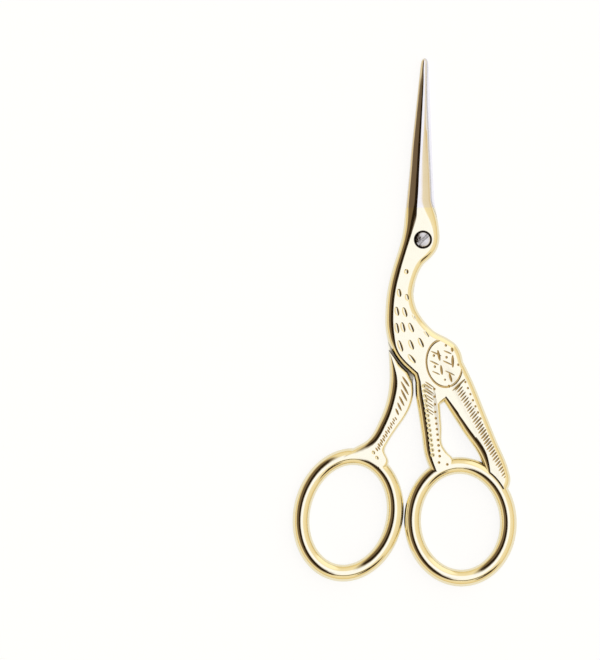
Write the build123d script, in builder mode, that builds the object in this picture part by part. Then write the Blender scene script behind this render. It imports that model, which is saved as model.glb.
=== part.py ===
from build123d import *
import os
from math import atan2, cos, hypot, radians, sin

# Stork embroidery scissors, lying flat and closed, in millimetres. +Y runs to the blade tip and
# +Z is up. The origin is on the table under the middle of the scissors.

# Driving sizes of both halves
blade_length = 42.8
ridge_width = 0.7
blade_overlap = 0.25
body_length = 53.3
body_width = 17.4
half_thickness = 2.1
lap_clearance = 0.05
side_clearance = 0.3
outer_bevel = 1.9
hip_rounding = 0.7
foot_rounding = 1.2
edge_land = 0.35

# Blade tip: it stands to the right of the root's middle, and its last stretch is blunt
tip_width = 1.3
tip_height = 1.0
tip_rounding = 0.8
tip_offset = 0.92
tip_ridge = 0.4
tip_end_width = 0.65
tip_end_ridge = 0.25
tip_end_height = 0.8

# Finger rings: round wire in a leaning oval, which hangs below its leg
ring_wire = 4.0
ring_gap = 0.25
ring_meeting = 4.5
front_hole_length = 22.6
front_hole_width = 18.5
front_ring_lean = 3.9
rear_ring_rise = 2.1
rear_hole_length = 23.8
rear_hole_width = 17.8
rear_ring_lean = -13.4
leg_foot_turns = (3, 0)
tail_foot_turns = (-12, -10)
rear_foot_turns = (4, -2)

# Pivot screw, which is also the stork's eye
head_diameter = 4.1
head_height = 0.9
head_dome = 0.12
head_clearance = 0.13
seat_clearance = 0.02
shank_diameter = 2.4
running_clearance = 0.04
thread_grip = 0.02
end_recess = 0.1
slot_width = 0.8
slot_depth = 0.45
slot_angle = 42

# Ornament, cut into the flat faces
feather_length = 2.1
feather_width = 0.8
feather_depth = 0.3
wing_length = 11.2
wing_width = 8.4
wing_lean = 8
groove_width = 0.4
groove_depth = 0.2
lattice_length = 3.4
hatch_length = 2.8
barb_length = 1.9

# Levels and the share of each rounded side's width and height at its two middle edges
middle = half_thickness
top = 2 * half_thickness
lap_height = half_thickness - lap_clearance / 2
side_profile_shares = [(0.3, 0.68), (0.62, 0.92)]
blade_profile_shares = [(0.5, 0.6), (0.75, 0.82)]

# Outline stretches, as (across, along, rounding) shares of the body's width, the body's length and
# the outer bevel, measured from the pivot. Each half is drawn down its left side and up its right.
# The blade's root has both its edges' across shares and its along share.
root_shares = [(-0.208, 0.155, 0.25), (-0.231, 0.177, 0.15)]
neck_left_shares = [
    (-0.267, 0.043, 1.15), (-0.294, -0.002, 1.0), (-0.332, -0.046, 0.95), (-0.417, -0.135, 1.0),
    (-0.48, -0.224, 1.0), (-0.508, -0.313, 1.0), (-0.506, -0.394, 1.0), (-0.474, -0.45, 0.9),
]
belly_shares = [
    (-0.474, -0.45, 0.9), (-0.43, -0.483, 0.7), (-0.375, -0.517, 0.62), (-0.295, -0.55, 0.62),
    (-0.2, -0.58, 0.62), (-0.125, -0.602, 0.62),
]
front_leg_left_shares = [
    (-0.104, -0.632, 0.66), (-0.1, -0.683, 0.74), (-0.063, -0.768, 0.76), (-0.021, -0.86, 0.76),
    (0.022, -0.955, 0.7),
]
front_leg_right_shares = [
    (0.41, -0.968, 0.3), (0.335, -0.943, 0.3), (0.27, -0.91, 0.3), (0.255, -0.83, 0.3),
    (0.233, -0.732, 0.35),
]
tail_left_shares = [(0.288, -0.72, 0.6), (0.529, -0.845, 0.95), (0.772, -0.965, 0.95)]
tail_right_shares = [
    (1.187, -1.063, 0.62), (1.155, -1.015, 0.74), (0.997, -0.89, 0.8), (0.833, -0.757, 0.8),
    (0.665, -0.622, 0.8), (0.543, -0.54, 0.8),
]
wing_edge_shares = [
    (0.543, -0.54, 0.8), (0.505, -0.494, 0.85), (0.448, -0.465, 0.85), (0.353, -0.441, 0.9),
    (0.15, -0.405, 1.0), (0.007, -0.357, 1.0),
]
nape_shares = [
    (0.007, -0.357, 1.0), (-0.088, -0.305, 0.95), (-0.13, -0.24, 0.9), (-0.095, -0.179, 0.9),
    (0.007, -0.11, 0.95), (0.109, -0.079, 0.95), (0.188, -0.044, 0.95), (0.223, -0.002, 0.95),
    (0.217, 0.047, 1.1),
]
breast_shares = [
    (-0.135, -0.632, 0.4), (-0.101, -0.533, 0.4), (-0.084, -0.445, 0.5), (-0.102, -0.35, 0.7),
    (-0.13, -0.24, 0.9),
]
rear_leg_left_shares = [
    (-0.474, -0.45, 1.0), (-0.458, -0.542, 1.15), (-0.455, -0.63, 1.2), (-0.491, -0.71, 1.15),
    (-0.59, -0.8, 1.1), (-0.752, -0.887, 1.0), (-0.922, -0.92, 0.7),
]
rear_leg_right_shares = [
    (-0.465, -0.985, 0.35), (-0.516, -0.929, 0.35), (-0.474, -0.9, 0.3), (-0.343, -0.834, 0.3),
    (-0.248, -0.79, 0.3), (-0.176, -0.746, 0.3), (-0.128, -0.679, 0.3), (-0.135, -0.632, 0.35),
]

# Ornament places, as (across, along, lean in degrees), and lines of marks as the first and last
# place with their number and lean.
feather_places_shares = [
    (-0.32, -0.238, 8), (-0.213, -0.257, 8), (-0.35, -0.318, 10), (-0.24, -0.322, 10),
    (-0.116, -0.344, 12), (-0.352, -0.396, 14), (-0.268, -0.388, 14), (-0.154, -0.39, 16),
    (0.066, -0.423, 20), (-0.306, -0.471, 20), (-0.158, -0.468, 22), (-0.025, -0.456, 24),
    (-0.15, -0.528, 30),
]
wing_centre_shares = (0.29, -0.547)
lattice_lines_shares = [((0.16, -0.49), (0.39, -0.56)), ((0.2, -0.545), (0.42, -0.61))]
rear_hatch_shares = ((-0.235, -0.635), (-0.36, -0.765))
front_hatch_shares = ((0.08, -0.65), (0.12, -0.75))
barb_line_shares = ((0.475, -0.66), (1.05, -1.0))
rear_hatch_count, rear_hatch_lean = 6, 32
front_hatch_count, front_hatch_lean = 5, 60
lattice_count, lattice_lean = 3, 12
barb_count, barb_lean = 15, -40


def placed(shares):
    """Turn outline shares into places with their rounding, in millimetres from the pivot."""
    return [(x * body_width, y * body_length, wide * outer_bevel) for x, y, wide in shares]


class Ring:
    """The oval centre line of a finger ring's wire, on the front (1) or rear (-1) half."""

    def __init__(self, hole_length, hole_width, lean, side, leg_length):
        self.long = (hole_length + ring_wire) / 2
        self.short = (hole_width + ring_wire) / 2
        self.lean = lean
        turn = radians(lean)
        self.reach_x = hypot(self.long * sin(turn), self.short * cos(turn)) + ring_wire / 2
        self.reach_y = hypot(self.long * cos(turn), self.short * sin(turn))
        self.x = -ring_meeting + side * (ring_gap / 2 + self.reach_x)
        self.y = -leg_length - self.reach_y

    def foot(self, edge_ends, turns):
        """Where a leg's two edges sink into the wire, each turned along the ring by some degrees."""
        places = []
        for (end_x, end_y, _), turn in zip(edge_ends, turns):
            angle = atan2(end_y - self.y, end_x - self.x) + radians(turn)
            leaning = angle - radians(self.lean)
            reach = 1 / hypot(cos(leaning) / self.short, sin(leaning) / self.long)
            x, y = self.x + reach * cos(angle), self.y + reach * sin(angle)
            places.append((x, y, foot_rounding))
        return places


front_ring = Ring(front_hole_length, front_hole_width, front_ring_lean, 1, body_length)
rear_leg_length = body_length - rear_ring_rise
rear_ring = Ring(rear_hole_length, rear_hole_width, rear_ring_lean, -1, rear_leg_length)

# The pivot's place from the origin, which is under the middle of the whole outline.
lowest = min(ring.y - ring.reach_y - ring_wire / 2 for ring in (front_ring, rear_ring))
pivot_x = -(front_ring.x + front_ring.reach_x + rear_ring.x - rear_ring.reach_x) / 2
pivot_y = -(blade_length + lowest) / 2


def level(height):
    """The plane at a height, with its origin on the pivot's axis."""
    return Plane(origin=(pivot_x, pivot_y, height))


def normals(points):
    """The heading across each point of an open line, to the left of its run."""
    headings = []
    for index in range(len(points)):
        start, end = points[max(index - 1, 0)], points[min(index + 1, len(points) - 1)]
        headings.append(atan2(end[1] - start[1], end[0] - start[0]) + radians(90))
    return headings


def shifted(points, distance):
    """A line moved to its left by a clearance, point by point."""
    return [
        (x + distance * cos(heading), y + distance * sin(heading), wide)
        for (x, y, wide), heading in zip(points, normals(points))
    ]


def inset(stretches):
    """Move each outline point inwards by its rounding, mitred between its two neighbours."""
    loop = [place for stretch in stretches for place in stretch[:-1]]
    moved = []
    for index, (x, y, wide) in enumerate(loop):
        before, after = loop[index - 1], loop[(index + 1) % len(loop)]
        turn_in = atan2(y - before[1], x - before[0])
        turn = (atan2(after[1] - y, after[0] - x) - turn_in + radians(540)) % radians(360)
        half_turn = (turn - radians(180)) / 2
        reach, heading = wide / cos(half_turn), turn_in + half_turn + radians(90)
        moved.append((x + reach * cos(heading), y + reach * sin(heading)))
    result, start = [], 0
    for stretch in stretches:
        end = start + len(stretch) - 1
        result.append([moved[index % len(moved)] for index in range(start, end + 1)])
        start = end
    return result


def between(outer, inner, share):
    """The outline that lies a share of the way from the outer one to the inner one."""
    return [
        [(x + share * (p - x), y + share * (q - y)) for (x, y, *_), (p, q) in zip(far, near)]
        for far, near in zip(outer, inner)
    ]


def rounded_plate(stretches, start, height, profile_shares=side_profile_shares):
    """Loft a plate from its widest outline at a level to its flat face, a height away."""
    face = inset(stretches)
    land = edge_land if height > 0 else -edge_land
    sections = []
    steps = [(0, 0), (0, land)] + [(share, rise * height) for share, rise in profile_shares]
    for share, rise in steps + [(1, height)]:
        with BuildSketch(level(start + rise)) as section:
            with BuildLine():
                for points in between(stretches, face, share):
                    if len(points) > 2:
                        Spline(*points)
                    else:
                        Line(*points)
            make_face()
        sections.append(section.sketch)
    loft(sections if height > 0 else sections[::-1], ruled=True)


def blade(start, height, left, right, inset_left, inset_right):
    """Loft a blade from its two corners at the shoulder, where the plate ends, to its tip."""
    land = edge_land if height > 0 else -edge_land
    tip_x = (left[0] + right[0]) / 2 + tip_offset
    end_left = tip_x - tip_width / 2 + inset_left
    end_right = tip_x + tip_width / 2 - inset_right
    rows = [
        (left[1], left[0], right[0], ridge_width, half_thickness),
        (blade_length - tip_rounding, end_left, end_right, tip_ridge, tip_height),
        (blade_length, tip_x - tip_end_width / 2, tip_x + tip_end_width / 2, tip_end_ridge,
         tip_end_height),
    ]
    sections = []
    for along, x_left, x_right, ridge, thickness in rows:
        run = (x_right - x_left - ridge) / 2
        rise = thickness / half_thickness
        side = [(0, 0), (0, land * rise)]
        side += [(share * run, part * height * rise) for share, part in blade_profile_shares]
        side += [(run, height * rise)]
        points = [(x_left + x, start + z) for x, z in side]
        points += [(x_right - x, start + z) for x, z in reversed(side)]
        section_plane = Plane(
            origin=(pivot_x, pivot_y + along, 0), x_dir=(1, 0, 0), z_dir=(0, -1, 0)
        )
        with BuildSketch(section_plane) as section:
            with BuildLine():
                Polyline(*points, close=True)
            make_face()
        sections.append(section.sketch)
    loft(sections, ruled=True)


def ring_wire_solid(ring):
    """Sweep the ring's wire round its oval, in two halves."""
    for start_angle in (0, 180):
        with BuildLine(level(middle)) as path:
            EllipticalCenterArc(
                (ring.x, ring.y), ring.short, ring.long, start_angle=start_angle, arc_size=180,
                rotation=ring.lean,
            )
        with BuildSketch(Plane(origin=path.line @ 0, z_dir=path.line % 0)) as section:
            Circle(ring_wire / 2)
        sweep(section.sketch, path=path.line)


root_left, root_right = [], []
for left_share, right_share, along_share in root_shares:
    x_left, x_right = left_share * body_width, right_share * body_width
    slope = (x_right - x_left - ridge_width) / 2
    root_left.append((x_left, along_share * body_length, slope))
    root_right.insert(0, (x_right, along_share * body_length, slope))

neck_left, belly = root_left + placed(neck_left_shares), placed(belly_shares)
nape, wing_edge = placed(nape_shares) + root_right, placed(wing_edge_shares)
front_left, front_right = placed(front_leg_left_shares), placed(front_leg_right_shares)
tail_left, tail_right = placed(tail_left_shares), placed(tail_right_shares)
rear_left, rear_right = placed(rear_leg_left_shares), placed(rear_leg_right_shares)
breast = placed(breast_shares)

leg_foot = front_ring.foot((front_left[-1], front_right[0]), leg_foot_turns)
tail_foot = front_ring.foot((tail_left[-1], tail_right[0]), tail_foot_turns)
rear_foot = rear_ring.foot((rear_left[-1], rear_right[0]), rear_foot_turns)
leg_and_tail = [
    front_left + leg_foot[:1], leg_foot, leg_foot[1:] + front_right,
    [front_right[-1], tail_left[0]],
    tail_left + tail_foot[:1], tail_foot, tail_foot[1:] + tail_right,
    wing_edge,
]
shoulder = [root_left[-1], root_right[0]]
shoulder_plane = Plane(origin=(pivot_x, pivot_y + root_left[-1][1], 0), z_dir=(0, 1, 0))
upper_outline = [
    neck_left, belly, [belly[-1], front_left[0]], *leg_and_tail, nape, [nape[-1], neck_left[0]],
]
flank = [(x, y, lap_clearance) for x, y, _ in shifted(breast[::-1], side_clearance)[2:-1]]
lower_outline = [[wing_edge[-1], flank[0]], flank + front_left[:1], *leg_and_tail]
rear_outline = [
    neck_left, rear_left[:2], rear_left[1:] + rear_foot[:1], rear_foot,
    rear_foot[1:] + rear_right, breast,
    nape[2:], [nape[-1], neck_left[0]],
]
belly_side = [(x, y, hip_rounding) for x, y, _ in shifted(belly, -side_clearance)[2:-1]]
hip = [belly_side[0], (*rear_left[1][:2], hip_rounding)]
rear_leg_outline = [
    hip[1:] + rear_left[2:] + rear_foot[:1], rear_foot, rear_foot[1:] + rear_right,
    [rear_right[-1], belly_side[-1]], belly_side[:0:-1] + hip[:1], hip,
]


def row_of_marks(line, count, lean):
    """Locations spread evenly along a line of marks, all leaning alike."""
    (x, y), (end_x, end_y) = line
    places = []
    for index in range(count):
        share = index / (count - 1)
        across = (x + share * (end_x - x)) * body_width
        along = (y + share * (end_y - y)) * body_length
        places.append(Location((across, along), lean))
    return places


def seen_from_behind(locations):
    """The same places on the back face, whose plane has its across line turned over."""
    return [
        Location((place.position.X, -place.position.Y), -place.orientation.Z)
        for place in locations
    ]


def cut_marks(face_plane, locations, length, width, depth):
    """Cut a group of like round-ended strokes into a flat face."""
    with BuildSketch(face_plane) as strokes:
        with Locations(*locations):
            SlotOverall(length, width, rotation=90)
    extrude(strokes.sketch, amount=-depth, mode=Mode.SUBTRACT)


def cut_wing(face_plane, centre, lean):
    """Cut the wing's oval groove into a flat face."""
    with BuildSketch(face_plane) as oval:
        with Locations(centre):
            Ellipse(wing_width / 2, wing_length / 2, rotation=lean)
            Ellipse(
                wing_width / 2 - groove_width, wing_length / 2 - groove_width, rotation=lean,
                mode=Mode.SUBTRACT,
            )
    extrude(oval.sketch, amount=-groove_depth, mode=Mode.SUBTRACT)


front_face = level(top)
back_face = Plane(origin=(pivot_x, pivot_y, 0), x_dir=(1, 0, 0), z_dir=(0, 0, -1))
upright = Plane(origin=(pivot_x, pivot_y, 0), x_dir=(1, 0, 0), z_dir=(0, -1, 0))
feathers = [
    Location((x * body_width, y * body_length), lean) for x, y, lean in feather_places_shares
]
neck_feathers = [place for place in feathers if place.position.X < breast[2][0] - feather_width]
wing_centre = (wing_centre_shares[0] * body_width, wing_centre_shares[1] * body_length)
lattice = []
for line in lattice_lines_shares:
    lattice += row_of_marks(line, lattice_count, lattice_lean)
front_hatch = row_of_marks(front_hatch_shares, front_hatch_count, front_hatch_lean)
rear_hatch = row_of_marks(rear_hatch_shares, rear_hatch_count, rear_hatch_lean)
barbs = row_of_marks(barb_line_shares, barb_count, barb_lean)

with BuildPart() as front_half:
    rounded_plate(upper_outline, top - lap_height, lap_height)
    split(bisect_by=shoulder_plane, keep=Keep.BOTTOM)
    blade(top - lap_height, lap_height, *shoulder, 0, blade_overlap)
    rounded_plate(lower_outline, top - lap_height, lap_height - top)
    ring_wire_solid(front_ring)
    with Locations(front_face.location):
        CounterBoreHole(
            shank_diameter / 2 + running_clearance, head_diameter / 2 + head_clearance, head_height
        )
    cut_marks(front_face, feathers, feather_length, feather_width, feather_depth)
    cut_wing(front_face, wing_centre, wing_lean)
    cut_wing(back_face, (wing_centre[0], -wing_centre[1]), -wing_lean)
    ornament = [(lattice, lattice_length), (front_hatch, hatch_length), (barbs, barb_length)]
    for marks, length in ornament:
        cut_marks(front_face, marks, length, groove_width, groove_depth)
        cut_marks(back_face, seen_from_behind(marks), length, groove_width, groove_depth)

with BuildPart() as rear_half:
    rounded_plate(rear_outline, lap_height, -lap_height)
    split(bisect_by=shoulder_plane, keep=Keep.BOTTOM)
    blade(lap_height, -lap_height, *shoulder, blade_overlap, 0)
    rounded_plate(rear_leg_outline, lap_height, top - lap_height)
    ring_wire_solid(rear_ring)
    with Locations(level(middle).location):
        Hole(shank_diameter / 2 - thread_grip)
    back_feathers = seen_from_behind(neck_feathers)
    cut_marks(back_face, back_feathers, feather_length, feather_width, feather_depth)
    cut_marks(front_face, rear_hatch, hatch_length, groove_width, groove_depth)
    cut_marks(back_face, seen_from_behind(rear_hatch), hatch_length, groove_width, groove_depth)

with BuildPart() as pivot_screw:
    seat = top - head_height + seat_clearance
    with BuildSketch(upright) as profile:
        with BuildLine():
            Polyline(
                (0, top + head_dome), (0, end_recess), (shank_diameter / 2, end_recess),
                (shank_diameter / 2, seat), (head_diameter / 2, seat), (head_diameter / 2, top),
            )
            TangentArc((0, top + head_dome), (head_diameter / 2, top), tangent=(1, 0))
        make_face()
    revolve(profile.sketch, axis=Axis((pivot_x, pivot_y, 0), (0, 0, 1)))
    with BuildSketch(level(top + head_dome)) as slot:
        Rectangle(head_diameter + head_clearance, slot_width, rotation=slot_angle)
    extrude(slot.sketch, amount=-slot_depth - head_dome, mode=Mode.SUBTRACT)

os.makedirs("parts", exist_ok=True)
front_half.part.label = "front_half"
rear_half.part.label = "rear_half"
pivot_screw.part.label = "pivot_screw"
export_step(front_half.part, "parts/front_half.step")
export_step(rear_half.part, "parts/rear_half.step")
export_step(pivot_screw.part, "parts/pivot_screw.step")
print("pivot at", pivot_x, pivot_y)
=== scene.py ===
from math import atan2, cos, hypot, pi, radians, sin

import bmesh
import bpy
from mathutils import Matrix, Vector
from mathutils.geometry import interpolate_bezier


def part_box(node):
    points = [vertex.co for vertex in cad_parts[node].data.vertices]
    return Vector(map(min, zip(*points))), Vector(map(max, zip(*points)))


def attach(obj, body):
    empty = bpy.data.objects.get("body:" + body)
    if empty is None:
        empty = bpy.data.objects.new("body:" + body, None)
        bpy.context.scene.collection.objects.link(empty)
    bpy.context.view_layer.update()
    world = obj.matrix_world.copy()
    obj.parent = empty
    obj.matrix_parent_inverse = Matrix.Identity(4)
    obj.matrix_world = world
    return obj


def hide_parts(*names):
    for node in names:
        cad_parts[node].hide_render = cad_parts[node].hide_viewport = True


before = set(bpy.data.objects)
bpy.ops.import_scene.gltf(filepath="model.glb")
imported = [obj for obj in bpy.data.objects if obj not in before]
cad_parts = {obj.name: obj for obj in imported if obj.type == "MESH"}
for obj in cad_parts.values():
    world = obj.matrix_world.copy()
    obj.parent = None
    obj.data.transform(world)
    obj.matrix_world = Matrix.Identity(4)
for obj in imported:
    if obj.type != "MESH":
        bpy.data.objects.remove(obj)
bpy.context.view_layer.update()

# The view and the room. The scissors lie on white card and are seen from straight above, on the
# middle of the picture. Every length below is in millimetres from the pivot until a mesh is made.
mm = 0.001
pixel_size = 0.236 * mm
picture_size, screw_place = Vector((600, 660)), Vector((422.97, 239.6))
camera_height = 500 * mm
screw_low, screw_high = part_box("pivot_screw")
pivot = Vector(((screw_low[0] + screw_high[0]) / 2, (screw_low[1] + screw_high[1]) / 2, 0))
across, down = (picture_size / 2 - screw_place) * pixel_size

camera = bpy.data.objects.new("camera", bpy.data.cameras.new("camera"))
camera.data.type = "ORTHO"
camera.data.sensor_fit = "HORIZONTAL"
camera.data.ortho_scale = picture_size.x * pixel_size
camera.location = (pivot.x + across, pivot.y - down, camera_height)
scene = bpy.context.scene
scene.collection.objects.link(camera)
scene.camera = camera
scene.view_settings.view_transform = "Standard"


def linear(code):
    """The linear colour of an sRGB hex code."""
    channels = [int(code[place:place + 2], 16) / 255 for place in (1, 3, 5)]
    return [c / 12.92 if c < 0.04045 else ((c + 0.055) / 1.055) ** 2.4 for c in channels] + [1]


def add_node(tree, kind, inputs=None, **settings):
    """Add a node with its settings, and set or link its inputs."""
    node = tree.nodes.new(kind)
    for name, value in settings.items():
        setattr(node, name, value)
    for socket, value in (inputs or {}).items():
        if isinstance(value, bpy.types.NodeSocket):
            tree.links.new(value, node.inputs[socket])
        else:
            node.inputs[socket].default_value = value
    return node


def mixed(tree, factor, first, second, **settings):
    """The mix of two colours by a factor."""
    inputs = {"Factor": factor, "A": first, "B": second}
    return add_node(tree, "ShaderNodeMix", inputs, data_type="RGBA", **settings).outputs["Result"]


# The room is a white tent that turns creamy and dimmer towards its foot. A dark gap, where the
# lens and its arm stand, lies to the left of straight up, so left-hand edges get a dark line.
# It is drawn over the slope of a surface that mirrors it upwards.
tent_steps = [
    (0.0, "#C4AE78"), (0.4, "#D2C6AA"), (0.86, "#D8CFB8"), (0.93, "#E6EAFE"), (1.0, "#E5EAFF"),
]
tent_strength = 1.33
# Each patch of the gap has its middle, its radii across and along, its turn and its colour
dark_gaps = [
    ((-0.29, 0.06), (0.235, 0.46), 12, "#645440"),
    ((-0.17, -0.2), (0.1, 0.2), 25, "#4A361C"),
    ((-0.185, 0.02), (0.095, 0.36), 8, "#1E1408"),
    ((0.1, -0.31), (0.32, 0.035), -4, "#33250F"),
    ((0.28, -0.4), (0.15, 0.07), 30, "#3A280F"),
    ((0.3, 0.5), (0.3, 0.2), 50, "#E9E3CE"),
]
gap_blur, any_height = (0.8, 1.15), 1000
world = bpy.data.worlds.new("white_tent")
scene.world = world
world.use_nodes = True
room = world.node_tree
room.nodes.clear()
direction = add_node(room, "ShaderNodeTexCoord").outputs["Generated"]
halfway = add_node(room, "ShaderNodeVectorMath", {0: direction, 1: (0, 0, 1)})
slope = add_node(room, "ShaderNodeVectorMath", {0: halfway.outputs[0]}, operation="NORMALIZE")
height = add_node(room, "ShaderNodeSeparateXYZ", {0: direction})
tent = add_node(room, "ShaderNodeValToRGB", {0: height.outputs["Z"]})
while len(tent.color_ramp.elements) < len(tent_steps):
    tent.color_ramp.elements.new(0.5)
for element, (position, code) in zip(tent.color_ramp.elements, tent_steps):
    element.position = position
    element.color = linear(code)
colour = tent.outputs["Color"]
for centre, radii, turn, code in dark_gaps:
    place = add_node(
        room, "ShaderNodeMapping", {
            "Vector": slope.outputs[0], "Location": (*centre, 0), "Rotation": (0, 0, radians(turn)),
            "Scale": (*radii, any_height),
        }, vector_type="TEXTURE",
    )
    reach = add_node(room, "ShaderNodeVectorMath", {0: place.outputs[0]}, operation="LENGTH")
    darkness = add_node(
        room, "ShaderNodeMapRange", {
            "Value": reach.outputs["Value"], "From Min": gap_blur[0], "From Max": gap_blur[1],
            "To Min": 1, "To Max": 0,
        }, interpolation_type="SMOOTHSTEP",
    )
    colour = mixed(room, darkness.outputs["Result"], colour, linear(code))
paths = add_node(room, "ShaderNodeLightPath")
seen = mixed(room, paths.outputs["Is Camera Ray"], colour, (1, 1, 1, 1))
glow = add_node(room, "ShaderNodeBackground", {"Color": seen, "Strength": tent_strength})
add_node(room, "ShaderNodeOutputWorld", {"Surface": glow.outputs[0]})

# The card is matt and white. Its own small glow keeps it white in the picture and in the metal,
# and leaves the soft shadow round the scissors.
card_reach, card_drop = 600 * mm, 0.02 * mm
seen_glow, mirrored_glow = 0.85, 0.7
card_mesh = bmesh.new()
bmesh.ops.create_grid(
    card_mesh, x_segments=1, y_segments=1, size=card_reach,
    matrix=Matrix.Translation((0, 0, -card_drop)),
)
card = bpy.data.objects.new("card", bpy.data.meshes.new("card"))
card_mesh.to_mesh(card.data)
card_mesh.free()
scene.collection.objects.link(card)
white_card = bpy.data.materials.new("white_card")
white_card.use_nodes = True
sheet = white_card.node_tree
sheet.nodes.clear()
matt = add_node(sheet, "ShaderNodeBsdfDiffuse", {"Color": linear("#8C8C8C")})
paths = add_node(sheet, "ShaderNodeLightPath")
mirrored = add_node(sheet, "ShaderNodeMath", {
    0: paths.outputs["Is Glossy Ray"], 1: paths.outputs["Is Transmission Ray"],
}, operation="MAXIMUM")
dimmed = add_node(sheet, "ShaderNodeMath", {
    0: mirrored.outputs[0], 1: mirrored_glow,
}, operation="MULTIPLY")
strength = add_node(sheet, "ShaderNodeMath", {
    0: paths.outputs["Is Camera Ray"], 1: seen_glow, 2: dimmed.outputs[0],
}, operation="MULTIPLY_ADD")
lift = add_node(sheet, "ShaderNodeEmission", {"Strength": strength.outputs[0]})
both = add_node(sheet, "ShaderNodeAddShader", {0: matt.outputs[0], 1: lift.outputs[0]})
add_node(sheet, "ShaderNodeOutputMaterial", {"Surface": both.outputs[0]})
card.data.materials.append(white_card)

# Both halves are drop forgings of carbon steel, filed to one outline, polished, nickel plated and
# then gold plated up to the blade. Their outlines are smooth lines through a few points, each with
# the width of the rounded edge there. Shares are of the body's width, its length and the bevel.
body_width, body_length, bevel = 17.4, 53.3, 1.9
blade_length = 42.8
half_thickness, lap_gap = 2.1, 0.05
top = 2 * half_thickness
edge_land = 0.35
wire = 4.0

# Blade edges from the tip down, as places with the width of the slope up to the ridge. The front
# blade is ground back on its right, so that a strip of the rear blade shows beside it.
blade_left = [
    (0.4, 42.8, 0.3), (-0.1, 42.6, 0.5), (-0.42, 41.9, 0.7), (-0.6, 40.8, 0.8),
    (-0.96, 37.7, 1.13), (-1.47, 32.9, 1.43), (-1.98, 28.2, 1.7), (-2.77, 21.1, 2.15),
    (-3.18, 16.4, 2.3), (-3.65, 11.7, 2.55),
]
front_blade_right = [
    (1.93, 9.2, 2.5), (1.82, 11.7, 2.38), (1.61, 16.4, 1.95), (1.38, 21.1, 1.47),
    (1.07, 28.2, 0.75), (0.86, 32.9, 0.4), (0.84, 37.7, 0.3), (0.9, 41.0, 0.35),
    (0.75, 42.5, 0.3), (0.4, 42.8, 0.3),
]
rear_blade_right = [
    (2.65, 9.8, 2.6), (2.55, 11.7, 2.5), (2.31, 16.4, 2.2), (2.13, 21.1, 1.9), (1.84, 28.2, 1.5),
    (1.7, 32.9, 1.2), (1.5, 37.7, 0.8), (1.38, 40.6, 0.55), (1.2, 42.0, 0.4), (0.85, 42.7, 0.3),
    (0.4, 42.8, 0.3),
]
neck_left = [
    (-0.231, 0.15, 1.4), (-0.247, 0.1, 1.45), (-0.267, 0.043, 1.15), (-0.294, -0.002, 1.0),
    (-0.332, -0.046, 0.95), (-0.417, -0.135, 1.0), (-0.48, -0.224, 1.0), (-0.508, -0.313, 1.0),
    (-0.506, -0.394, 1.0), (-0.474, -0.45, 0.9),
]
belly = [
    (-0.474, -0.45, 0.9), (-0.43, -0.483, 0.7), (-0.375, -0.517, 0.62), (-0.295, -0.55, 0.62),
    (-0.2, -0.58, 0.62), (-0.125, -0.602, 0.62),
]
front_leg_left = [
    (-0.104, -0.632, 0.68), (-0.1, -0.683, 0.82), (-0.063, -0.768, 0.92), (-0.021, -0.86, 0.92),
    (0.022, -0.955, 0.8),
]
front_leg_right = [
    (0.41, -0.968, 0.3), (0.335, -0.943, 0.3), (0.27, -0.91, 0.3), (0.255, -0.83, 0.3),
    (0.233, -0.732, 0.35),
]
tail_left = [(0.288, -0.72, 0.6), (0.529, -0.845, 0.95), (0.772, -0.965, 0.95)]
tail_right = [
    (1.187, -1.063, 0.8), (1.155, -1.015, 0.8), (0.997, -0.89, 0.8), (0.833, -0.757, 0.8),
    (0.665, -0.622, 0.8), (0.543, -0.54, 0.8),
]
wing_edge = [
    (0.543, -0.54, 0.8), (0.505, -0.494, 0.85), (0.448, -0.465, 0.85), (0.353, -0.441, 0.9),
    (0.15, -0.405, 1.0), (0.007, -0.357, 1.0),
]
nape = [
    (0.007, -0.357, 1.0), (-0.088, -0.305, 0.95), (-0.13, -0.24, 0.9), (-0.095, -0.179, 0.9),
    (0.007, -0.11, 0.95), (0.109, -0.079, 0.95), (0.188, -0.044, 0.95), (0.223, -0.002, 0.95),
    (0.217, 0.047, 1.0),
]
front_root = [(0.186, 0.098, 1.32), (0.14, 0.14, 1.36)]
rear_root = [(0.19, 0.1, 1.2), (0.167, 0.145, 1.3)]
breast = [
    (-0.135, -0.632, 0.4), (-0.101, -0.533, 0.4), (-0.084, -0.445, 0.5), (-0.102, -0.35, 0.7),
    (-0.13, -0.24, 0.9),
]
rear_leg_left = [
    (-0.474, -0.45, 1.0), (-0.458, -0.542, 1.05), (-0.455, -0.63, 1.0), (-0.491, -0.71, 0.95),
    (-0.59, -0.8, 0.95), (-0.752, -0.887, 0.9), (-0.922, -0.92, 0.8),
]
rear_leg_right = [
    (-0.465, -0.985, 0.35), (-0.516, -0.929, 0.35), (-0.474, -0.9, 0.3), (-0.343, -0.834, 0.3),
    (-0.248, -0.79, 0.3), (-0.176, -0.746, 0.3), (-0.128, -0.679, 0.3), (-0.135, -0.632, 0.35),
]


def placed(shares):
    """Outline points in millimetres from the pivot, with the rounding as their third value."""
    return [Vector((x * body_width, y * body_length, wide * bevel)) for x, y, wide in shares]


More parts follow.
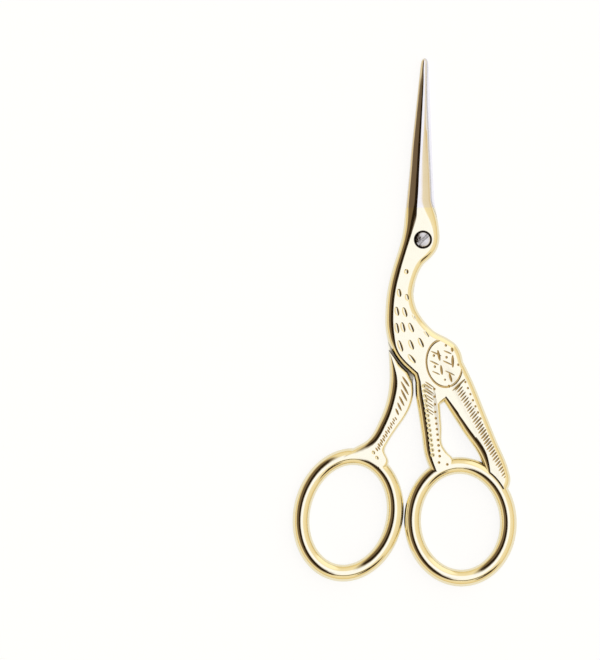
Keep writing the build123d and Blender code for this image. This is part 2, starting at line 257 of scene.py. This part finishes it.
def inset(stretches):
    """Move each outline point inwards by its rounding, mitred between its two neighbours."""
    loop = [place for stretch in stretches for place in stretch[:-1]]
    moved = []
    for index, place in enumerate(loop):
        before, after = loop[index - 1], loop[(index + 1) % len(loop)]
        turn_in = atan2(place.y - before.y, place.x - before.x)
        turn = (atan2(after.y - place.y, after.x - place.x) - turn_in + 3 * pi) % (2 * pi)
        half_turn = (turn - pi) / 2
        reach, heading = place.z / cos(half_turn), turn_in + half_turn + pi / 2
        moved.append(Vector((place.x + reach * cos(heading), place.y + reach * sin(heading), 0)))
    result, start = [], 0
    for stretch in stretches:
        end = start + len(stretch) - 1
        result.append([moved[index % len(moved)] for index in range(start, end + 1)])
        start = end
    return result


def smooth_line(points, counts):
    """Sample a smooth line through points, with a count of samples after each, less its end."""
    if len(points) == 2:
        return [points[0].lerp(points[1], step / counts[0]) for step in range(counts[0])]
    gaps = [(end - start).xy.length for start, end in zip(points, points[1:])]
    runs = []
    for index in range(1, len(points) - 1):
        before, after = gaps[index - 1], gaps[index]
        arriving = (points[index] - points[index - 1]) / before
        leaving = (points[index + 1] - points[index]) / after
        passing = (points[index + 1] - points[index - 1]) / (before + after)
        runs.append(arriving + leaving - passing)
    runs.insert(0, 1.5 * (points[1] - points[0]) / gaps[0] - 0.5 * runs[0])
    runs.append(1.5 * (points[-1] - points[-2]) / gaps[-1] - 0.5 * runs[-1])
    places = []
    for index, (gap, count) in enumerate(zip(gaps, counts)):
        start, end = points[index], points[index + 1]
        handles = start + runs[index] * gap / 3, end - runs[index + 1] * gap / 3
        places += interpolate_bezier(start, *handles, end, count + 1)[:-1]
    return places


def sampled(stretches, like, spacing=0.35):
    """Sample every stretch of an outline, as densely as the one that it is like."""
    places = []
    for stretch, pattern in zip(stretches, like):
        counts = [max(2, round((b - a).xy.length / spacing)) for a, b in zip(pattern, pattern[1:])]
        places += smooth_line(stretch, counts)
    return places


# A side rises from the land as a rounded edge, but on the blade as a hollow-ground slope
quarter_turn = [pi / 2 * step / 9 for step in range(10)]
round_steps = [(1 - cos(angle), sin(angle)) for angle in quarter_turn]
ground_steps = [
    (0, 0), (0.03, 0.2), (0.06, 0.34), (0.1, 0.44), (0.25, 0.57), (0.4, 0.69), (0.54, 0.8),
    (0.68, 0.895), (0.84, 0.955), (1, 1),
]
blade_root, neck_end = 9.5, 4.0
tip_share = 0.42
ankle_start, ankle_length, ankle_dip = -40, 8, 0.05


def blade_share(y):
    """How far a place has left the rounded neck for the ground blade, from 0 to 1."""
    share = min(max((y - neck_end) / (blade_root - neck_end), 0), 1)
    return share * share * (3 - 2 * share)


def thickness_share(y):
    """The blade thins steadily from its root to its tip, and the legs by a hair to the wire."""
    share = min(max((y - blade_root) / (blade_length - blade_root), 0), 1)
    ankle = min(max((ankle_start - y) / ankle_length, 0), 1)
    return 1 - (1 - tip_share) * share - ankle_dip * ankle


def add_plate(mesh, stretches, seam, face_height, root=((0, 0),)):
    """Grow a plate from its outline at the seam up or down to its flat face, loop by loop.

    Its root is the start of its side at the seam, as shares inwards and millimetres upwards.
    """
    outer, face = sampled(stretches, stretches), sampled(inset(stretches), stretches)
    side = 1 if face_height > seam else -1
    rise = abs(face_height - seam) - edge_land
    loop = []
    share, lift = root[0]
    for far, near in zip(outer, face):
        place = far.lerp(near, share)
        loop.append(mesh.verts.new((place.x, place.y, seam + side * lift)))
    mesh.faces.new(loop)
    edges = [mesh.edges.get((loop[index - 1], loop[index])) for index in range(len(loop))]
    loops = [[(share, lift)] * len(outer) for share, lift in root[1:]]
    loops.append([(0, edge_land * thickness_share(far.y)) for far in outer])
    for (round_in, round_up), (ground_in, ground_up) in zip(round_steps[1:], ground_steps[1:]):
        steps = []
        for far in outer:
            ground = blade_share(far.y)
            inward = round_in + ground * (ground_in - round_in)
            upward = round_up + ground * (ground_up - round_up)
            steps.append((inward, (edge_land + upward * rise) * thickness_share(far.y)))
        loops.append(steps)
    for steps in loops:
        grown = bmesh.ops.extrude_edge_only(mesh, edges=edges)["geom"]
        fresh = {item for item in grown if isinstance(item, bmesh.types.BMVert)}
        upper = []
        for vert in loop:
            others = [edge.other_vert(vert) for edge in vert.link_edges]
            upper.append(next(other for other in others if other in fresh))
        for vert, far, near, (inward, upward) in zip(upper, outer, face, steps):
            place = far.lerp(near, inward)
            vert.co = (place.x, place.y, seam + side * upward)
        loop = upper
        edges = [mesh.edges.get((loop[index - 1], loop[index])) for index in range(len(loop))]
    mesh.faces.new(loop)


class Ring:
    """A finger ring of round wire, bent to a leaning oval and forge-welded under its leg."""

    def __init__(self, centre, hole_width, hole_length, lean):
        self.centre = Vector(centre)
        self.short, self.long = (hole_width + wire) / 2, (hole_length + wire) / 2
        self.lean = radians(lean)

    def foot(self, edge_ends, turns, rounding, sink=0):
        """Where a leg's end sinks into the wire, its two edges turned along the ring by degrees."""
        places = []
        outs = [end.xy - self.centre for end in edge_ends]
        first, last = [atan2(out.y, out.x) + radians(turn) for out, turn in zip(outs, turns)]
        steps = 4
        for step in range(steps + 1):
            angle = first + (last - first) * step / steps
            leaning = angle - self.lean
            reach = 1 / hypot(cos(leaning) / self.short, sin(leaning) / self.long)
            crest = self.centre + Vector((cos(angle), sin(angle))) * (reach - sink)
            places.append(Vector((*crest, rounding)))
        return places


same_place = 0.0005


def new_piece(name, mesh, metals=(), metal=0):
    """Turn a mesh in millimetres from the pivot into an object in the frame's metres."""
    for face in mesh.faces:
        face.material_index = metal
    bmesh.ops.remove_doubles(mesh, verts=mesh.verts, dist=same_place)
    bmesh.ops.recalc_face_normals(mesh, faces=mesh.faces)
    to_frame = Matrix.Translation(pivot) @ Matrix.Scale(mm, 4)
    bmesh.ops.transform(mesh, matrix=to_frame, verts=mesh.verts)
    piece = bpy.data.objects.new(name, bpy.data.meshes.new(name))
    mesh.to_mesh(piece.data)
    mesh.free()
    for material in metals:
        piece.data.materials.append(material)
    scene.collection.objects.link(piece)
    return piece


def finished_mesh(carrier):
    """The mesh that an object's curve or modifiers make."""
    bpy.context.view_layer.update()
    graph = bpy.context.evaluated_depsgraph_get()
    return bpy.data.meshes.new_from_object(carrier.evaluated_get(graph))


def bent_wire(ring, metals):
    """The ring's wire, swept round its oval."""
    curve = bpy.data.curves.new("wire", "CURVE")
    curve.dimensions = "3D"
    curve.bevel_depth = wire / 2 * mm
    curve.bevel_resolution = 14
    turns = 144
    line = curve.splines.new("POLY")
    line.points.add(turns - 1)
    spin = Matrix.Rotation(ring.lean, 4, "Z")
    for index, point in enumerate(line.points):
        angle = 2 * pi * index / turns
        place = spin @ Vector((ring.short * cos(angle), ring.long * sin(angle), 0))
        place += Vector((*ring.centre, half_thickness))
        point.co = (*(pivot + place * mm), 1)
    line.use_cyclic_u = True
    carrier = bpy.data.objects.new("wire", curve)
    scene.collection.objects.link(carrier)
    tube = finished_mesh(carrier)
    bpy.data.objects.remove(carrier)
    tube.materials.clear()
    for material in metals:
        tube.materials.append(material)
    piece = bpy.data.objects.new("wire", tube)
    scene.collection.objects.link(piece)
    return piece


def work(piece, tool, operation):
    """Join a tool's solid to a piece, or cut it out, and put the tool away."""
    step = piece.modifiers.new("work", "BOOLEAN")
    step.operation = operation
    step.solver = "MANIFOLD"
    step.object = tool
    done = finished_mesh(piece)
    piece.modifiers.clear()
    piece.data = done
    bpy.data.objects.remove(tool)


front_ring = Ring((8.835, -66.591), 18.6, 22.6, 3.9)
rear_ring = Ring((-17.657, -64.956), 17.9, 23.8, -13.4)
foot_rounding, foot_sink = 1.2, 1.2

neck_left, belly, nape, wing_edge = map(placed, (neck_left, belly, nape, wing_edge))
front_leg_left, front_leg_right = map(placed, (front_leg_left, front_leg_right))
tail_left, tail_right, breast = map(placed, (tail_left, tail_right, breast))
rear_leg_left, rear_leg_right = map(placed, (rear_leg_left, rear_leg_right))
front_root, rear_root = map(placed, (front_root, rear_root))
blade_left = [Vector(point) for point in blade_left]
front_blade_right = [Vector(point) for point in front_blade_right]
rear_blade_right = [Vector(point) for point in rear_blade_right]

leg_ends, tail_ends = (front_leg_left[-1], front_leg_right[0]), (tail_left[-1], tail_right[0])
leg_foot = front_ring.foot(leg_ends, (3, 0), foot_rounding, foot_sink)
tail_foot = front_ring.foot(tail_ends, (-12, -10), foot_rounding)
leg_and_tail = [
    front_leg_left + leg_foot[:1], leg_foot, leg_foot[-1:] + front_leg_right,
    [front_leg_right[-1], tail_left[0]],
    tail_left + tail_foot[:1], tail_foot, tail_foot[-1:] + tail_right,
    wing_edge,
]
upper_outline = [
    blade_left + neck_left, belly, [belly[-1], front_leg_left[0]], *leg_and_tail,
    nape + front_root + front_blade_right,
]
breast_gap, flank_rounding = Vector((0.3, 0, 0)), 0.05
flank = [place + breast_gap for place in breast[-2:0:-1]]
for place in flank:
    place.z = flank_rounding
lower_outline = [[wing_edge[-1], flank[0]], flank + front_leg_left[:1], *leg_and_tail]

# Engraving: gouge strokes of the front half, each by its two ends in the picture. A cutter is a
# long grain, larger than its stroke, that hangs over the face with only its belly in it.
stroke_swell, stroke_height, stroke_lift = 0.67, 3, 2
feather_width, feather_depth = 1.15, 0.19
fine_width = 0.68
feathers = [
    ((407.1, 268.9), (405.7, 274.3)), ((398.6, 288.6), (399.8, 297.2)),
    ((406.4, 293.8), (408.1, 301.2)), ((395.9, 306.6), (397.9, 316.0)),
    ((403.1, 307.2), (406.4, 317.2)), ((395.9, 322.8), (397.9, 333.6)),
    ((401.6, 322.2), (404.3, 332.4)), ((408.9, 322.8), (413.4, 332.6)),
    ((398.2, 340.2), (402.4, 351.8)), ((409.0, 339.8), (413.2, 349.8)),
    ((418.4, 337.8), (423.2, 347.6)), ((408.0, 354.4), (415.4, 363.2)),
]
faint_feathers = [((412.2, 313.8), (416.2, 320.4)), ((423.8, 329.8), (428.8, 337.2))]
wing_strokes = [
    ((437.7, 349.9), (440.0, 361.1)), ((440.7, 364.7), (442.3, 375.4)),
    ((452.6, 355.0), (452.8, 367.8)), ((449.1, 373.2), (452.0, 382.6)),
    ((448.6, 384.4), (449.4, 388.0)), ((452.0, 347.0), (452.4, 352.0)),
]
wing_cross = [
    ((430.5, 351.0), (441.5, 356.0)), ((443.5, 350.5), (451.5, 354.0)),
    ((429.5, 360.5), (440.0, 365.5)), ((442.5, 360.5), (452.0, 365.0)),
    ((432.0, 371.0), (441.5, 375.5)), ((443.5, 370.0), (455.0, 375.5)),
]
wing_eyes = [
    (433.8, 355.6), (446.5, 357.3), (434.8, 366.7), (445.8, 345.3), (458.3, 364.7), (445, 379.7),
]
wing_centre, wing_size, wing_lean = Vector((5.05, -29.2)), (8.4, 11.2), 8


def from_picture(place):
    """A place in the picture's pixels, in millimetres from the pivot."""
    offset = (Vector(place) - screw_place) * pixel_size / mm
    return Vector((offset.x, -offset.y))


def add_strokes(mesh, strokes, width, depth, face_height):
    """Add a cutter for each gouge stroke: a long grain that sinks into a flat face."""
    outward = 1 if face_height > 0 else -1
    for start, end in strokes:
        start, end = from_picture(start), from_picture(end)
        run = end - start
        size = Matrix.Diagonal((
            run.length * stroke_swell, width * stroke_swell, depth * stroke_height, 1,
        ))
        turn = Matrix.Rotation(atan2(run.y, run.x), 4, "Z")
        middle = (start + end) / 2
        surface = half_thickness + (face_height - half_thickness) * thickness_share(middle.y)
        place = Matrix.Translation((middle.x, middle.y, surface + outward * depth * stroke_lift))
        bmesh.ops.create_uvsphere(
            mesh, u_segments=20, v_segments=14, radius=1, matrix=place @ turn @ size
        )


def pairs(strokes, spread):
    """Split each stroke into two thin ones, side by side."""
    result = []
    for start, end in strokes:
        start, end = Vector(start), Vector(end)
        across = (end - start).orthogonal().normalized() * spread / 2
        result += [(start - across, end - across), (start + across, end + across)]
    return result


def dots(places, size):
    """Short strokes that make round dots at places in the picture."""
    return [((x, y - size / 2), (x, y + size / 2)) for x, y in places]


def along(start, end, count):
    """Places in the picture, spread evenly from one to another."""
    return [Vector(start).lerp(Vector(end), step / (count - 1)) for step in range(count)]


def slanted(places, lean):
    """A stroke from each place, all leaning alike."""
    return [(place, place + Vector(lean)) for place in places]


tail_marks = slanted(along((455.4, 392.2), (502.6, 477.4), 17), (6.3, -6.8))
leg_marks = slanted(along((424.3, 382.5), (425.6, 408.5), 5), (9.6, 6.6))
leg_dots = along((434.2, 389), (435.2, 412), 4) + along((435.7, 418.3), (439.7, 456.2), 8)
leg_dots += [Vector((439, 462.5)), Vector((447.3, 464.4))]
tail_dots = along((465.4, 382), (480.5, 418.5), 7)
leg_scallops = along((423.6, 386), (432.6, 455), 15)
tail_divide = [((449.3, 393.6), (466.2, 378))]
# Each row has its strokes, their width and their depth. Pairs and dots have a size in pixels.
front_engraving = [
    (feathers, feather_width, feather_depth), (faint_feathers, 0.7, 0.12),
    (wing_strokes, 0.66, 0.22), (wing_cross, 0.4, 0.06), (dots(wing_eyes, 3), 0.6, 0.1),
    (pairs(tail_marks, 2.8), 0.44, 0.12), (tail_divide, 0.5, 0.1),
    (dots(tail_dots, 2.6), 0.55, 0.12), (pairs(leg_marks, 2.3), 0.4, 0.08),
    (dots(leg_dots, 2.8), 0.66, 0.15), (dots(leg_scallops, 4.4), 1.05, 0.3),
]


def add_wing_groove(mesh, face_height):
    """Add the cutter for the groove round the wing: a thin torus, drawn out to an oval."""
    groove, lift = 0.36, 0.26
    section = bmesh.ops.create_circle(
        mesh, segments=12, radius=groove,
        matrix=Matrix.Translation((wing_size[0] / 2, 0, lift)) @ Matrix.Rotation(pi / 2, 4, "X"),
    )["verts"]
    edges = list({edge for vert in section for edge in vert.link_edges})
    spun = bmesh.ops.spin(
        mesh, geom=section + edges, axis=(0, 0, 1), cent=(0, 0, 0), angle=2 * pi, steps=72,
        use_merge=True,
    )["geom_last"]
    torus = set(section) | {item for item in spun if isinstance(item, bmesh.types.BMVert)}
    reached = list(torus)
    while reached:
        vert = reached.pop()
        for edge in vert.link_edges:
            other = edge.other_vert(vert)
            if other not in torus:
                torus.add(other)
                reached.append(other)
    outward = 1 if face_height > 0 else -1
    stretch = Matrix.Diagonal((1, wing_size[1] / wing_size[0], outward, 1))
    lean = Matrix.Rotation(radians(wing_lean), 4, "Z")
    place = Matrix.Translation((*wing_centre, face_height))
    bmesh.ops.transform(mesh, matrix=place @ lean @ stretch, verts=list(torus))


def engrave(piece, engraving, face_height, wing=False):
    """Cut all the strokes of one face into a piece, the fine ones with painted shade in them."""
    for strokes, width, depth in engraving:
        cutters = bmesh.new()
        add_strokes(cutters, strokes, width, depth, face_height)
        fine = 1 if width < fine_width else 0
        work(piece, new_piece("gouge", cutters, gilt, fine), "DIFFERENCE")
    if wing:
        cutters = bmesh.new()
        add_wing_groove(cutters, face_height)
        work(piece, new_piece("gouge", cutters, gilt, 1), "DIFFERENCE")


def drill(piece, radius, floor_height, ceiling_height):
    """Cut a round hole on the pivot between two levels."""
    bit = bmesh.new()
    depth = ceiling_height - floor_height
    bmesh.ops.create_cone(
        bit, cap_ends=True, segments=64, radius1=radius, radius2=radius, depth=depth,
        matrix=Matrix.Translation((0, 0, floor_height + depth / 2)),
    )
    work(piece, new_piece("bit", bit, gilt), "DIFFERENCE")


level_share, crease = 0.9995, radians(32)


def finish_metal(piece, body, node):
    """Give a finished piece its smooth and sharp edges and its place in the frame."""
    for polygon in piece.data.polygons:
        polygon.use_smooth = True
    shape = bmesh.new()
    shape.from_mesh(piece.data)
    for edge in shape.edges:
        level_faces = sum(abs(face.normal.z) > level_share for face in edge.link_faces)
        edge.smooth = level_faces != 1 and edge.calc_face_angle(0) < crease
    shape.to_mesh(piece.data)
    shape.free()
    weights = piece.modifiers.new("flat_faces", "WEIGHTED_NORMAL")
    weights.keep_sharp = True
    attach(piece, body)
    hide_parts(node)


def place_in_mm(tree):
    """Each place on a surface, in the frame's millimetres."""
    place = add_node(tree, "ShaderNodeTexCoord").outputs["Object"]
    scaled = add_node(tree, "ShaderNodeVectorMath", {0: place, "Scale": 1 / mm}, operation="SCALE")
    return scaled.outputs[0]


def noise(tree, place, per_mm, detail=2):
    """Cloudy variation over places, from 0 to 1, with so many clouds in a millimetre."""
    inputs = {"Vector": place, "Scale": per_mm, "Detail": detail}
    return add_node(tree, "ShaderNodeTexNoise", inputs).outputs[0]


# Polished gold plating over nickel, about a micrometre thick, with the blade masked off and left in
# bright nickel. Polishing leaves broad shallow waves and a very fine haze of wiping marks.
plated_reach, line_blur, line_waver = 7.56, 0.3, 0.3
plating_line = pivot.y / mm + plated_reach
plating = bpy.data.materials.new("gold_plating_over_nickel")
plating.use_nodes = True
metal = plating.node_tree
finish = metal.nodes["Principled BSDF"]
finish.inputs["Metallic"].default_value = 1
place = place_in_mm(metal)
lengthways = add_node(metal, "ShaderNodeSeparateXYZ", {0: place}).outputs["Y"]
wavering = add_node(metal, "ShaderNodeMath", {
    0: noise(metal, place, 1.5), 1: line_waver, 2: lengthways,
}, operation="MULTIPLY_ADD")
bare = add_node(metal, "ShaderNodeMapRange", {
    "Value": wavering.outputs[0], "From Min": plating_line, "From Max": plating_line + line_blur,
})
patches = noise(metal, place, 0.25, 3)
gold = mixed(metal, patches, linear("#FEF5D5"), linear("#FCF1CB"))
nickel = mixed(metal, patches, linear("#F6F0E4"), linear("#EEE6D8"))
tint = mixed(metal, bare.outputs[0], gold, nickel)
# Painted shade: where ambient occlusion finds a crevice, as in the gap between the halves, the cuts
# and where the rings touch, the gold is darkened towards dark brown.
depth = add_node(metal, "ShaderNodeAmbientOcclusion", {"Distance": 1.0 * mm}, samples=8)
crevice_shade = add_node(metal, "ShaderNodeMapRange", {
    "Value": depth.outputs["AO"], "From Min": 0.34, "From Max": 0.78, "To Min": 0.9, "To Max": 0,
}, interpolation_type="SMOOTHSTEP")
with_painted_shade = mixed(metal, crevice_shade.outputs[0], tint, linear("#33210A"))
metal.links.new(with_painted_shade, finish.inputs["Base Color"])
shine = add_node(metal, "ShaderNodeMapRange", {
    "Value": noise(metal, place, 0.9, 4), "To Min": 0.06, "To Max": 0.13,
})
metal.links.new(shine.outputs[0], finish.inputs["Roughness"])
relief = add_node(metal, "ShaderNodeBump", {
    "Height": noise(metal, place, 0.4, 1), "Strength": 1, "Distance": 0.02 * mm,
})
metal.links.new(relief.outputs[0], finish.inputs["Normal"])

# Painted shade in the fine cuts: their gold is multiplied by a darker gold.
cuts = plating.copy()
cuts.name = "gold_with_painted_shade_in_the_cuts"
cut_nodes = cuts.node_tree
finish = cut_nodes.nodes["Principled BSDF"]
plated_colour = finish.inputs["Base Color"].links[0].from_socket
cut_shade = mixed(cut_nodes, 1, plated_colour, linear("#CDB88E"), blend_type="MULTIPLY")
cut_nodes.links.new(cut_shade, finish.inputs["Base Color"])
gilt = (plating, cuts)

# Front half: its upper plate has the whole outline, and its lower plate, behind the rear half's
# breast, has the body, leg and tail. The screw's bore goes through and its head has a seat.
bore_radius, seat_radius, seat_depth = 1.24, 2.18, 0.9
below_bore, above_top = 1, 6
front_mesh = bmesh.new()
front_seam = half_thickness + lap_gap / 2
add_plate(front_mesh, upper_outline, front_seam, top)
front_half = new_piece("front_half_forging", front_mesh, gilt)
lower_mesh = bmesh.new()
lap_root = ((0.02, -0.2), (0.02, 0.01), (0, 0.03))
add_plate(lower_mesh, lower_outline, front_seam, 0, lap_root)
work(front_half, new_piece("lower_plate", lower_mesh, gilt), "UNION")
work(front_half, bent_wire(front_ring, gilt), "UNION")
drill(front_half, bore_radius, below_bore, above_top)
drill(front_half, seat_radius, top - seat_depth, above_top)
engrave(front_half, front_engraving, top, wing=True)
back_engraving = [row for row in front_engraving if row[0] not in (feathers, faint_feathers)]
engrave(front_half, back_engraving, 0, wing=True)
finish_metal(front_half, "front", "front_half")

# The rear half lies under the front one: its own blade, the neck and breast beneath, and the rear
# leg at full thickness with its ring.
belly_gap, hip_rounding = Vector((-0.15, -0.26, 0)), 0.7
thread_radius, below_back = 1.19, -1
belly_side = [place + belly_gap for place in belly[2:-1]]
for place, share in zip(belly_side, (0.4, 1, 1)):
    place.z = hip_rounding * share
hip, thigh = placed([(-0.466, -0.49, 0.03), (-0.458, -0.542, 0.48)])
heel = placed([(-1.09, -0.952, 0.45)])[0]
rear_foot = rear_ring.foot((heel, rear_leg_right[0]), (7, -2), foot_rounding, foot_sink)
rear_outline = [
    blade_left + neck_left, rear_leg_left[:2], rear_leg_left[1:] + [heel] + rear_foot[:1],
    rear_foot, rear_foot[-1:] + rear_leg_right, breast, nape[2:] + rear_root + rear_blade_right,
]
rear_leg_outline = [
    [hip, thigh] + rear_leg_left[2:] + [heel] + rear_foot[:1], rear_foot,
    rear_foot[-1:] + rear_leg_right,
    [rear_leg_right[-1], belly_side[-1]], belly_side[::-1] + [hip],
]
hatch_strokes = [
    ((402.3, 376.3), (409.3, 386.8)), ((400.9, 381.2), (408.6, 395.3)),
    ((400.9, 389.0), (407.2, 401.6)), ((399.1, 396.0), (404.4, 406.5)),
    ((397.4, 402.3), (401.6, 411.4)), ((395.6, 408.2), (398.8, 415.6)),
]
leg_ticks = slanted(along((393.6, 417.5), (376.6, 447), 8), (2.4, 3.6))
knee_marks = [((372.6, 450.6), (374.4, 454.4)), ((375.8, 455.8), (378.2, 459.6))]
rear_engraving = [
    (hatch_strokes, 0.52, 0.22), (pairs(leg_ticks, 2.4), 0.4, 0.1), (knee_marks, 0.8, 0.18),
]

rear_mesh = bmesh.new()
rear_seam = half_thickness - lap_gap / 2
add_plate(rear_mesh, rear_outline, rear_seam, 0)
rear_half = new_piece("rear_half_forging", rear_mesh, gilt)
leg_mesh = bmesh.new()
add_plate(leg_mesh, rear_leg_outline, rear_seam, top, lap_root)
work(rear_half, new_piece("upper_plate", leg_mesh, gilt), "UNION")
work(rear_half, bent_wire(rear_ring, gilt), "UNION")
drill(rear_half, thread_radius, below_back, above_top)
engrave(rear_half, rear_engraving, top)
engrave(rear_half, rear_engraving + [(feathers, feather_width, feather_depth)], 0)
finish_metal(rear_half, "rear", "rear_half")

# Pivot screw: turned from steel rod and left bare. Its slotted head is the bird's eye, sunk in a
# round seat in the front half, and its thread ends just inside the rear half's back.
head_radius, shank_radius, end_recess, end_chamfer = 2.05, 1.2, 0.1, 0.15
head_floor, head_dome, head_chamfer = top - 0.88, 0.12, 0.2
screw_profile = [
    (0, end_recess), (shank_radius - end_chamfer, end_recess),
    (shank_radius, end_recess + end_chamfer), (shank_radius, head_floor),
    (head_radius, head_floor), (head_radius, top - head_chamfer),
    (head_radius - head_chamfer * 0.4, top - 0.07), (head_radius - head_chamfer, top + 0.01),
    (head_radius * 0.6, top + head_dome * 0.6), (head_radius * 0.3, top + head_dome * 0.92),
    (0, top + head_dome),
]
screw_mesh = bmesh.new()
points = [screw_mesh.verts.new((x, 0, z)) for x, z in screw_profile]
sides = [screw_mesh.edges.new(ends) for ends in zip(points, points[1:])]
bmesh.ops.spin(
    screw_mesh, geom=points + sides, axis=(0, 0, 1), cent=(0, 0, 0), angle=2 * pi, steps=72,
    use_merge=True,
)
screw = new_piece("slotted_pivot_screw", screw_mesh)
slot_width, slot_depth, slot_angle = 0.8, 0.45, radians(42)
slot_mesh = bmesh.new()
slot_place = Matrix.Translation((0, 0, top + head_dome)) @ Matrix.Rotation(slot_angle, 4, "Z")
slot_size = Matrix.Diagonal((3 * head_radius, slot_width, 2 * slot_depth, 1))
bmesh.ops.create_cube(slot_mesh, size=1, matrix=slot_place @ slot_size)
work(screw, new_piece("slot", slot_mesh), "DIFFERENCE")

# Turned bright steel, which handling has stained and slightly dented. The slot and a ring just
# inside the head's rim are painted nearly black, a painted shade, so that the screw looks like an
# eye.
steel = bpy.data.materials.new("turned_bright_steel")
steel.use_nodes = True
metal = steel.node_tree
finish = metal.nodes["Principled BSDF"]
finish.inputs["Metallic"].default_value = 1
place = place_in_mm(metal)
stains = noise(metal, place, 0.9, 4)
tint = mixed(metal, stains, linear("#F4EEE2"), linear("#B4AA98"))
from_axis = add_node(metal, "ShaderNodeVectorMath", {
    0: place, 1: (pivot.x / mm, pivot.y / mm, 0),
}, operation="SUBTRACT")
level = add_node(metal, "ShaderNodeVectorMath", {
    0: from_axis.outputs[0], 1: (1, 1, 0),
}, operation="MULTIPLY")
radius = add_node(metal, "ShaderNodeVectorMath", {0: level.outputs[0]}, operation="LENGTH")
# Painted shadow: a dark ring just inside the edge of the head
rim_start, rim_end = head_radius - 0.42, head_radius - 0.36
rim = add_node(metal, "ShaderNodeMapRange", {
    "Value": radius.outputs["Value"], "From Min": rim_start, "From Max": rim_end,
})
# Painted shade in the slot and the hollows round the head, found by ambient occlusion
depth = add_node(metal, "ShaderNodeAmbientOcclusion", {"Distance": 0.8 * mm}, samples=8)
hollow = add_node(metal, "ShaderNodeMapRange", {
    "Value": depth.outputs["AO"], "From Min": 0.32, "From Max": 0.85, "To Min": 1, "To Max": 0,
})
eye_shade = add_node(metal, "ShaderNodeMath", {
    0: rim.outputs[0], 1: hollow.outputs[0],
}, operation="MAXIMUM")
with_painted_shade = mixed(metal, eye_shade.outputs[0], tint, linear("#171008"))
metal.links.new(with_painted_shade, finish.inputs["Base Color"])
finish.inputs["Roughness"].default_value = 0.16
dents = add_node(metal, "ShaderNodeBump", {
    "Height": stains, "Strength": 1, "Distance": 0.1 * mm,
})
metal.links.new(dents.outputs[0], finish.inputs["Normal"])
screw.data.materials.clear()
screw.data.materials.append(steel)
finish_metal(screw, "rear", "pivot_screw")
